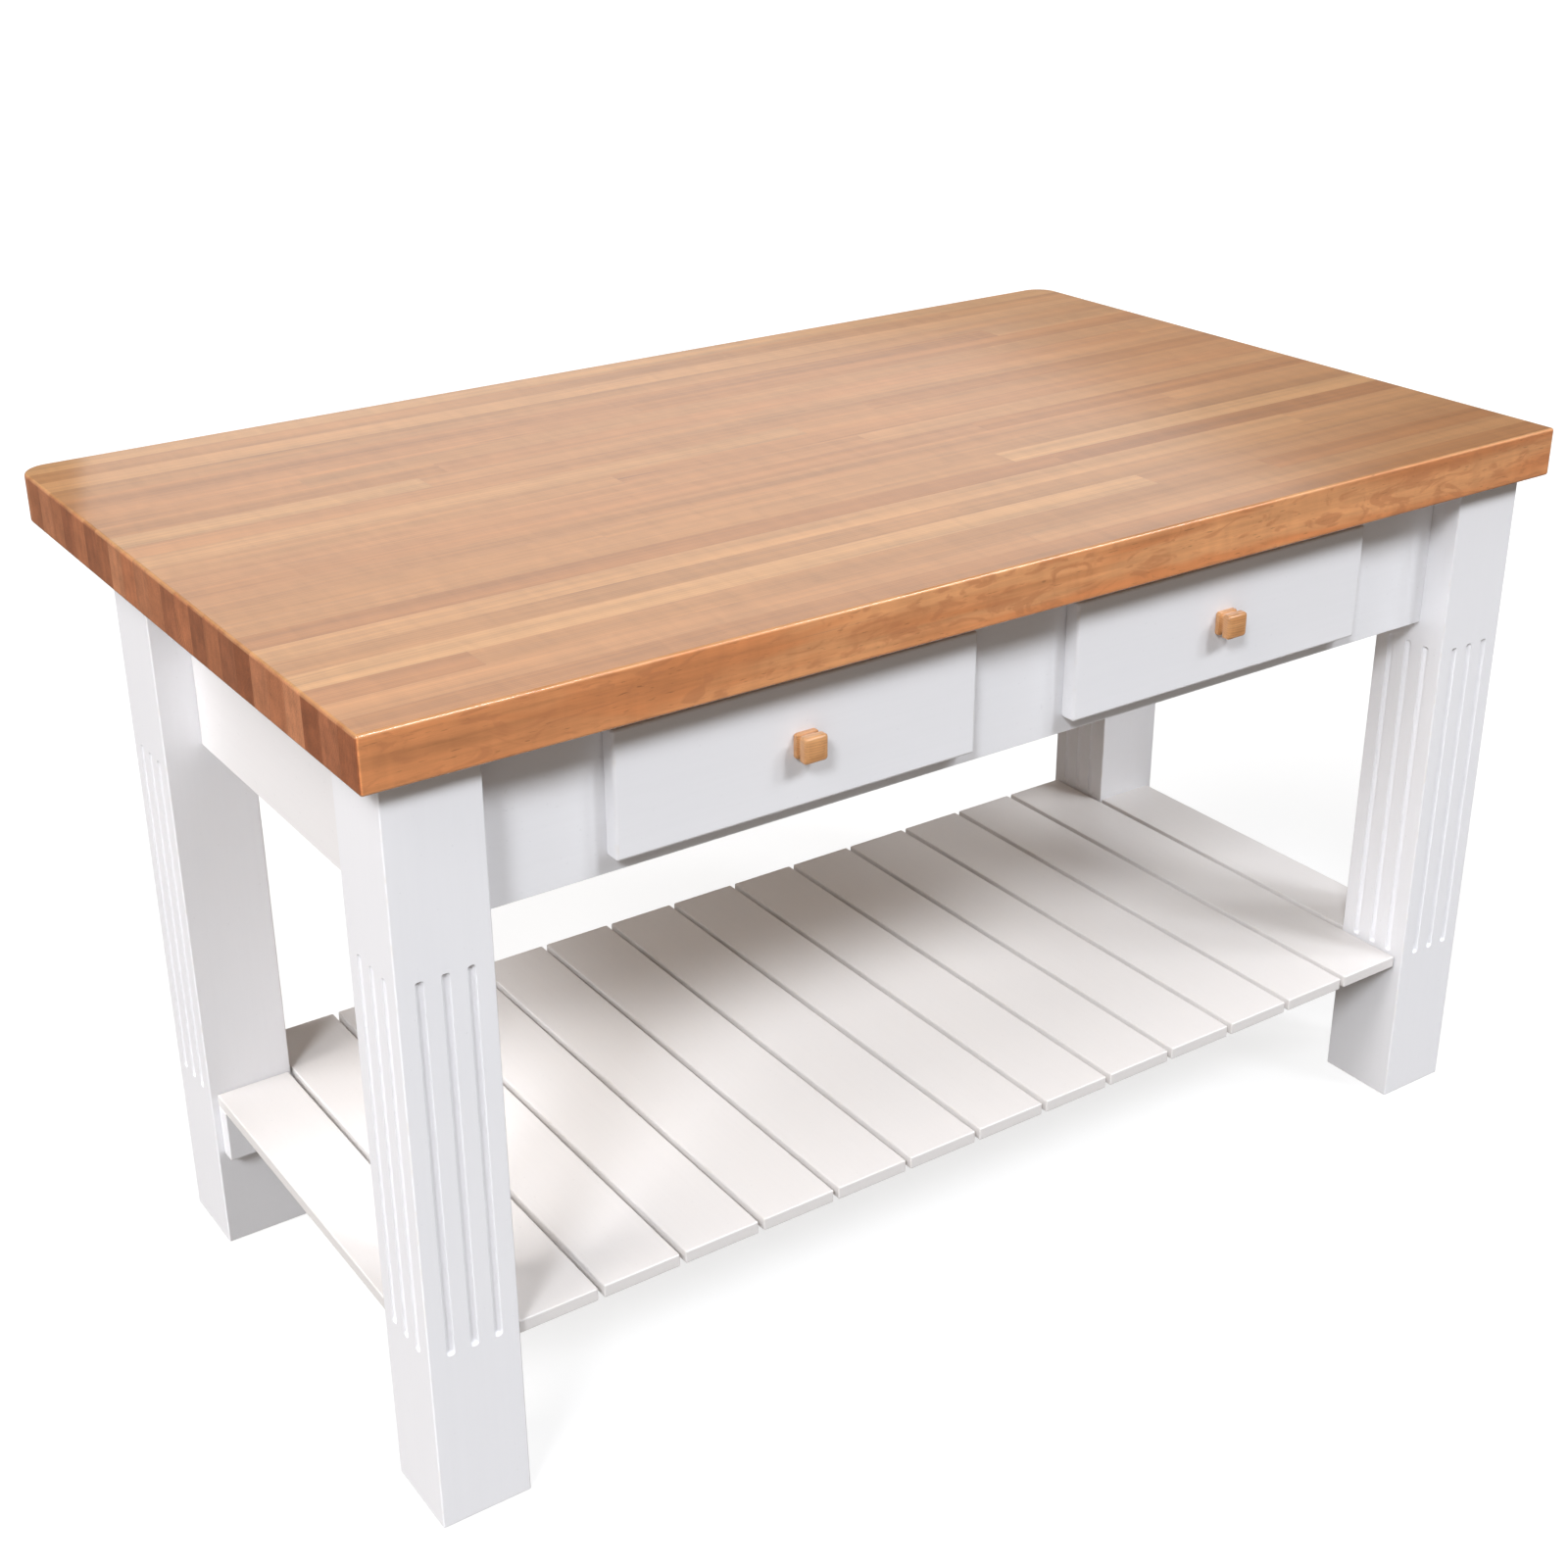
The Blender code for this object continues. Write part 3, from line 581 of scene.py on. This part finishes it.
def loft(rings, edge_tint):
    """bmesh of closed rings of points joined one to the next, with flat ends.

    The last argument holds each point's edge value, ring by ring, which the materials turn into
    worn paint, painted highlight and painted shade.
    """
    bm = bmesh.new()
    layer = bm.verts.layers.float.new(EDGE)
    loops = []
    for ring, values in zip(rings, edge_tint):
        loop = [bm.verts.new(point) for point in ring]
        for vert, value in zip(loop, values):
            vert[layer] = value
        loops.append(loop)
    count = len(loops[0])
    for lower, upper in zip(loops, loops[1:]):
        for i in range(count):
            j = (i + 1) % count
            bm.faces.new((lower[i], lower[j], upper[j], upper[i]))
    bm.faces.new(loops[0])
    bm.faces.new(loops[-1])
    return bm


def corner_arc(centre, radius, start, steps):
    """(point, outward direction) pairs round a quarter circle. Degrees from +X."""
    found = []
    for step in range(steps + 1):
        angle = math.radians(start + 90 * step / steps)
        outward = Vector((math.cos(angle), math.sin(angle)))
        found.append((centre + radius * outward, outward))
    return found


def easing_levels(low, high, radius, steps):
    """(height, inset) pairs up the rounded foot and the rounded top of an upright shape."""
    rise = []
    for step in range(steps + 1):
        angle = math.radians(90 * step / steps)
        rise.append((radius * (1 - math.sin(angle)), radius * (1 - math.cos(angle))))
    foot = [(low + lift, inset) for inset, lift in rise]
    head = [(high - lift, inset) for inset, lift in reversed(rise)]
    return foot, head


# ---------------------------------------------------------------- pieces


def make_worktop(material):
    """The slab: rounded rear corners, crisp front corners, all edges eased."""
    low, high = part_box("worktop")
    outline = []
    for sign_x, sign_y, start in ((1, -1, 270), (1, 1, 0), (-1, 1, 90), (-1, -1, 180)):
        radius = REAR_CORNER_RADIUS if sign_y > 0 else TOP_EASING
        x = (high.x if sign_x > 0 else low.x) - sign_x * radius
        y = (high.y if sign_y > 0 else low.y) - sign_y * radius
        outline += corner_arc(Vector((x, y)), radius, start, 16 if sign_y > 0 else 6)
    foot, head = easing_levels(low.z, high.z, TOP_EASING, 6)
    levels = foot + head
    rings = [
        [(*(point - outward * inset), z) for point, outward in outline] for z, inset in levels
    ]
    edge_tint = [[1.0 if 0 < inset < TOP_EASING else 0.0] * len(outline) for z, inset in levels]
    bm = loft(rings, edge_tint)
    piece = add_piece("worktop_slab", bm, material, "base", ["worktop"])
    level_faces(piece)


def flute_half_width():
    return math.sqrt(FLUTE_RADIUS**2 - (FLUTE_RADIUS - FLUTE_DEPTH) ** 2)


def flute_depth(across, z):
    """How deep a ball-ended cutter leaves the face, with its lip a little softened."""
    nearest = min(abs(across - step * FLUTE_SPACING) for step in (-1, 0, 1))
    reach = flute_half_width()
    beyond = max(FLUTE_BOTTOM + reach - z, z - FLUTE_TOP + reach, 0.0)
    squared = nearest**2 + beyond**2
    ball = math.sqrt(max(FLUTE_RADIUS**2 - squared, 0.0))
    depth = ball - (FLUTE_RADIUS - FLUTE_DEPTH)
    return FLUTE_LIP * math.log1p(math.exp(depth / FLUTE_LIP))


def spread(centre, reach, steps):
    """Places across a flute, closer together at its lips, with a shoulder on each side."""
    angles = [math.radians(-90 + 180 * step / steps) for step in range(steps + 1)]
    inner = [centre + reach * math.sin(angle) for angle in angles]
    return (
        [centre - reach - gap for gap in reversed(SHOULDERS)]
        + inner
        + [centre + reach + gap for gap in SHOULDERS]
    )


def make_leg(name, y_side, material):
    """A square leg, fluted on both end faces and on the face that looks out of the table."""
    low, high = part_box(name)
    centre = (low + high) / 2
    half = (high.x - low.x) / 2
    reach = flute_half_width()
    columns = [u for step in (-1, 0, 1) for u in spread(step * FLUTE_SPACING, reach, 18)]
    fluted = {(1, 0), (-1, 0), (0, y_side)}
    outline = []
    for start, outward in ((270, (1, 0)), (0, (0, 1)), (90, (-1, 0)), (180, (0, -1))):
        quarter = math.radians(start + 45)
        corner = (half - LEG_EASING) * math.sqrt(2)
        middle = Vector((math.cos(quarter), math.sin(quarter))) * corner
        outline += [(*pair, None) for pair in corner_arc(middle, LEG_EASING, start, 4)]
        direction = Vector(outward)
        sideways = Vector((-direction.y, direction.x))
        for u in columns:
            grooved = u if outward in fluted else None
            outline.append((direction * half + sideways * u, direction, grooved))
    foot, head = easing_levels(low.z, high.z, LEG_EASING, 4)
    ends = [spread(z, reach, 14) for z in (FLUTE_BOTTOM + reach, FLUTE_TOP - reach)]
    bottom_end = [z for z in ends[0] if z <= FLUTE_BOTTOM + reach]
    top_end = [z for z in ends[1] if z >= FLUTE_TOP - reach]
    between = [FLUTE_BOTTOM + (FLUTE_TOP - FLUTE_BOTTOM) * share for share in (0.25, 0.5, 0.75)]
    levels = foot + [(z, 0.0) for z in (*bottom_end, *between, *top_end)] + head
    rings = []
    edge_tint = []
    for z, inset in levels:
        ring = []
        values = []
        for point, outward, u in outline:
            depth = flute_depth(u, z) if u is not None else 0.0
            place = point - outward * (inset + depth)
            ring.append((centre.x + place.x, centre.y + place.y, z))
            on_corner = min(abs(outward.x), abs(outward.y)) > 0.01
            on_end = 0 < inset < LEG_EASING
            # Flute lips get 0.6: painted shade, darkening the paint along the flute edges
            on_lip = LIP_SHADE_DEPTHS[0] < depth < LIP_SHADE_DEPTHS[1]
            values.append(1.0 if on_end or on_corner else 0.6 if on_lip else 0.0)
        rings.append(ring)
        edge_tint.append(values)
    piece = add_piece(f"{name}_fluted", loft(rings, edge_tint), material, "base", [name])
    level_faces(piece)


def make_drawer_frame(material):
    """Rails and stiles as one painted frame with two openings."""
    nodes = ["front_rail_bottom", "front_rail_top"]
    nodes += [f"front_stile_{place}" for place in ("left", "centre", "right")]
    piece = board("drawer_frame", nodes, FRAME_EASING, material, segments=2)
    low, high = node_box(nodes)
    stiles = {place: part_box(f"front_stile_{place}") for place in ("left", "centre", "right")}
    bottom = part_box("front_rail_bottom")[1].z
    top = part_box("front_rail_top")[0].z
    spans = (
        (stiles["left"][1].x, stiles["centre"][0].x),
        (stiles["centre"][1].x, stiles["right"][0].x),
    )
    openings = [
        plain_box((left, low.y - 0.01, bottom), (right, high.y + 0.01, top))
        for left, right in spans
    ]
    cut(piece, openings)


def make_shelf(slat_paint, rail_paint):
    """Slats, the short end slats and the rails under them."""
    for number in range(1, 14):
        node = f"shelf_slat_{number:02d}"
        board(f"{node}_board", [node], SLAT_EASING, slat_paint)
    for side in SIDES:
        node = f"shelf_slat_end_{side}"
        board(f"{node}_board", [node], SLAT_EASING, slat_paint)
    for place in ("front", "rear"):
        node = f"shelf_rail_{place}"
        board(f"{node}_board", [node], SLAT_EASING, rail_paint)


def make_drawer_front(side, material):
    """The overlay front, housed at the back for the box and drilled for the knob's screw."""
    node = f"{side}_drawer_front"
    piece = board(
        f"{node}_panel", [node], FRONT_EASING, material, f"{side}_drawer", 6
    )
    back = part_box(node)[1].y
    pockets = []
    housed = [f"{side}_drawer_side_{place}" for place in SIDES] + [f"{side}_drawer_bottom"]
    for member in housed:
        low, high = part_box(member)
        grow = Vector((CLEARANCE, CLEARANCE, CLEARANCE))
        top = high + grow
        top.y = back + 0.01
        pockets.append(plain_box(low - grow, top))
    pockets.append(screw_hole(side))
    cut(piece, pockets)


def screw_hole(side):
    """bmesh of the drilling along the knob's screw."""
    low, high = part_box(f"{side}_drawer_knob_screw")
    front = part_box(f"{side}_drawer_front")
    middle = (low + high) / 2
    start, end = low.y - CLEARANCE, front[1].y + 0.01
    bm = bmesh.new()
    bmesh.ops.create_cone(
        bm, cap_ends=True, segments=24, radius1=SCREW_HOLE_RADIUS, radius2=SCREW_HOLE_RADIUS,
        depth=end - start,
    )
    turn = Matrix.Translation((middle.x, (start + end) / 2, middle.z)) @ Matrix.Rotation(
        math.radians(90), 4, "X"
    )
    bmesh.ops.transform(bm, matrix=turn, verts=bm.verts)
    return bm


def knob_profile():
    """(depth, half width, edge value) from the back of the flange to the rim of the face."""
    found = [
        (0.0, FLANGE_HALF - FLANGE_EASING, 1.0),
        (FLANGE_EASING, FLANGE_HALF, 1.0),
        (FLANGE_THICKNESS, FLANGE_HALF, 0.0),
    ]
    edge = FLANGE_HALF - COVE_RADIUS / 4
    for step in range(13):
        angle = math.radians(180 + 180 * step / 12)
        found.append((COVE_DEPTH + COVE_RADIUS * math.cos(angle),
                      edge + COVE_RADIUS * math.sin(angle), 0.0))
    found.append((COVE_DEPTH + COVE_RADIUS + HEAD_START, KNOB_HALF, 1.0))
    shoulder = KNOB_PROJECTION - KNOB_ROUNDING
    for step in range(9):
        angle = math.radians(90 - 90 * step / 8)
        found.append((shoulder + KNOB_ROUNDING * math.cos(angle),
                      KNOB_HALF - KNOB_ROUNDING + KNOB_ROUNDING * math.sin(angle), 1.0))
    return found


def knob_rings(middle, base):
    """Rounded squares along the knob, then smaller ones that rise to its crown."""
    profile = knob_profile()
    rim = profile[-1][1]
    for share in (0.8, 0.6, 0.4, 0.2, 0.06):
        profile.append((KNOB_PROJECTION + KNOB_CROWN * (1 - share**2), rim * share, 0.0))
    rings = []
    edge_tint = []
    for depth, half, value in profile:
        radius = min(KNOB_CORNER_RADIUS, half * 0.45)
        ring = []
        for start in (270, 0, 90, 180):
            quarter = math.radians(start + 45)
            inset = (half - radius) * math.sqrt(2)
            corner = Vector((math.cos(quarter), math.sin(quarter))) * inset
            for point, _ in corner_arc(corner, radius, start, 6):
                ring.append((middle.x + point.x, base - depth, middle.z + point.y))
        rings.append(ring)
        edge_tint.append([value] * len(ring))
    return rings, edge_tint


def make_knob(side, material):
    node = f"{side}_drawer_knob"
    low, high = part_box(node)
    rings, edge_tint = knob_rings((low + high) / 2, high.y)
    piece = add_piece(
        f"{node}_turned", loft(rings, edge_tint), material, f"{side}_drawer", [node]
    )
    cut(piece, [screw_hole(side)])
    level_faces(piece)


def dress(node, material):
    """Put a finished material on a CAD node that stays."""
    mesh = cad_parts[node].data
    mesh.materials.clear()
    mesh.materials.append(material)


def dress_hidden_parts():
    """Drawer boxes, slides, screws and corner blocks keep their CAD shapes."""
    light, dark = (0.74, 0.58, 0.40), (0.66, 0.48, 0.31)
    lengthwise = maple_material("drawer side maple", "y", light, dark, 0.42)
    crosswise = maple_material("drawer back maple", "x", light, dark, 0.42)
    block = maple_material("corner block maple", "z", (0.70, 0.52, 0.35), (0.60, 0.42, 0.27), 0.55)
    plywood = plywood_material()
    zinc = zinc_material()
    for side in SIDES:
        dress(f"{side}_drawer_back", crosswise)
        dress(f"{side}_drawer_bottom", plywood)
        dress(f"{side}_drawer_knob_screw", zinc)
        for place in SIDES:
            dress(f"{side}_drawer_side_{place}", lengthwise)
            for member in ("cabinet", "middle", "drawer"):
                dress(f"{side}_drawer_slide_{place}_{member}", zinc)
        dress(f"corner_block_front_{side}", block)
        dress(f"corner_block_rear_{side}", block)


def make_object():
    upright = paint_material("white paint, uprights", "z")
    crosswise = paint_material("white paint, rails", "x")
    # The side aprons and the slats take the same white paint in darker, warmer copies: painted
    # shade, strongest on the slats.
    lengthwise = paint_material("white paint, side aprons", "y", (0.832, 0.818, 0.822))
    slats = paint_material("white paint, slats", "y", (0.768, 0.748, 0.740))
    make_worktop(worktop_material())
    for y_name, y_side in (("front", -1), ("rear", 1)):
        for x_name in SIDES:
            make_leg(f"leg_{y_name}_{x_name}", y_side, upright)
    for side in SIDES:
        board(f"apron_{side}_board", [f"apron_{side}"], APRON_EASING, lengthwise)
    board("apron_rear_board", ["apron_rear"], APRON_EASING, crosswise)
    make_drawer_frame(crosswise)
    make_shelf(slats, crosswise)
    knob_wood = maple_material(
        "knob maple", "x", (0.76, 0.40, 0.175), (0.58, 0.27, 0.105), 0.28, 420.0, 0.6, 1.7
    )
    for side in SIDES:
        make_drawer_front(side, crosswise)
        make_knob(side, knob_wood)
    dress_hidden_parts()


# ---------------------------------------------------------------- studio


def stage_only(name, bm, material):
    """A backdrop piece that the camera sees, and that lights nothing."""
    mesh = bpy.data.meshes.new(name)
    bm.to_mesh(mesh)
    bm.free()
    mesh.materials.append(material)
    piece = bpy.data.objects.new(name, mesh)
    bpy.context.scene.collection.objects.link(piece)
    piece.visible_diffuse = False
    piece.visible_glossy = False
    piece.visible_shadow = False
    return piece


def make_backdrop():
    floor = bmesh.new()
    bmesh.ops.create_circle(floor, cap_ends=True, segments=96, radius=FLOOR_RADIUS)
    stage_only("floor", floor, floor_material()).location.z = -0.0005
    dome = bmesh.new()
    bmesh.ops.create_uvsphere(dome, u_segments=48, v_segments=24, radius=DOME_RADIUS)
    bmesh.ops.reverse_faces(dome, faces=dome.faces)
    stage_only("backdrop", dome, backdrop_material())


def add_light(light, name, place, target):
    lamp = bpy.data.objects.new(name, light)
    lamp.location = place
    lamp.rotation_euler = (Vector(target) - Vector(place)).to_track_quat("-Z", "Y").to_euler()
    lamp.visible_camera = False
    bpy.context.scene.collection.objects.link(lamp)
    return lamp


def far_light(name, azimuth, elevation, width, strength, colour, mirrored):
    light = bpy.data.lights.new(name, "SUN")
    light.angle = math.radians(width)
    light.energy = strength
    light.color = colour
    turn = math.radians(azimuth)
    rise = math.radians(elevation)
    level = math.cos(rise)
    direction = Vector((math.sin(turn) * level, -math.cos(turn) * level, math.sin(rise)))
    lamp = add_light(light, name, direction * LIGHT_DISTANCE, (0.0, 0.0, 0.0))
    lamp.visible_glossy = mirrored


def panel(name, place, target, size, power):
    """A soft box close by, that the varnish reflects."""
    light = bpy.data.lights.new(name, "AREA")
    light.shape = "RECTANGLE"
    light.size, light.size_y = size
    light.energy = power
    add_light(light, name, place, target)


def make_studio():
    scene = bpy.context.scene
    scene.view_settings.view_transform = "Standard"
    scene.view_settings.look = "None"
    world = bpy.data.worlds.new("studio")
    world.use_nodes = True
    background = world.node_tree.nodes["Background"]
    background.inputs["Color"].default_value = WARM_SHADE
    background.inputs["Strength"].default_value = 0.13
    scene.world = world
    make_backdrop()
    for settings in FAR_LIGHTS:
        far_light(*settings)
    panel("rear soft box", (3.6, 5.4, 3.9), (0.0, 0.0, 0.9), (6.0, 3.0), 48.0)


def make_camera():
    camera = bpy.data.cameras.new("camera")
    camera.lens = CAMERA_LENS
    camera.sensor_width = 36.0
    camera.shift_x, camera.shift_y = CAMERA_SHIFT
    camera.clip_start = 0.05
    camera.clip_end = 200.0
    viewer = bpy.data.objects.new("camera", camera)
    turns = ((CAMERA_HEADING, "Z"), (CAMERA_TILT, "X"), (CAMERA_ROLL, "Z"))
    pose = Matrix.Translation(CAMERA_PLACE)
    for angle, axis in turns:
        pose = pose @ Matrix.Rotation(math.radians(angle), 4, axis)
    viewer.matrix_world = pose
    bpy.context.scene.collection.objects.link(viewer)
    bpy.context.scene.camera = viewer


make_camera()
make_studio()
make_object()
